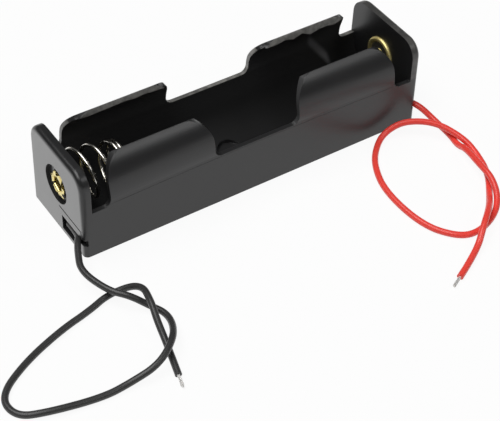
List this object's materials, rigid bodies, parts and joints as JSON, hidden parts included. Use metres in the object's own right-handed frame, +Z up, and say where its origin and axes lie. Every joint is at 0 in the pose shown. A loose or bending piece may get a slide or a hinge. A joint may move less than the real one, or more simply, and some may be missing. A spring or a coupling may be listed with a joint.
{
  "type": "cylindrical cell holder",
  "caption": "Long open-topped holder for one cylindrical cell: snap-in trough with four arched ears, a coil spring contact, a riveted contact and two free wire leads.",
  "frame": {"origin": "middle of the flat base", "axes": "+X along the holder towards the positive end, +Z up out of the open top, -Y the side where both leads come out"},
  "size_m": [0.11, 0.0631, 0.0197],
  "materials": {
    "black_plastic": "satin moulded",
    "rivet_brass": "bright",
    "spring_nickel": "bright nickel plate",
    "black_insulation": "smooth satin",
    "red_insulation": "smooth satin",
    "tinned_strands": "tinned"
  },
  "bodies": {
    "holder": {"holder_body": "black_plastic", "negative_rivet": "rivet_brass", "positive_contact": "rivet_brass", "black_lead": "black_insulation", "black_lead_core": "tinned_strands", "black_lead_tip": "tinned_strands", "red_lead": "red_insulation", "red_lead_core": "tinned_strands", "red_lead_tip": "tinned_strands"},
    "spring": {"contact_spring": "spring_nickel"}
  },
  "joints": [
    {"name": "spring_squeeze", "type": "slide", "parent": "holder", "child": "spring", "axis": [-1, 0, 0], "range_m": [0, 0.0065], "stiffness_N_per_m": 600, "deforming": ["contact_spring"]}
  ]
}
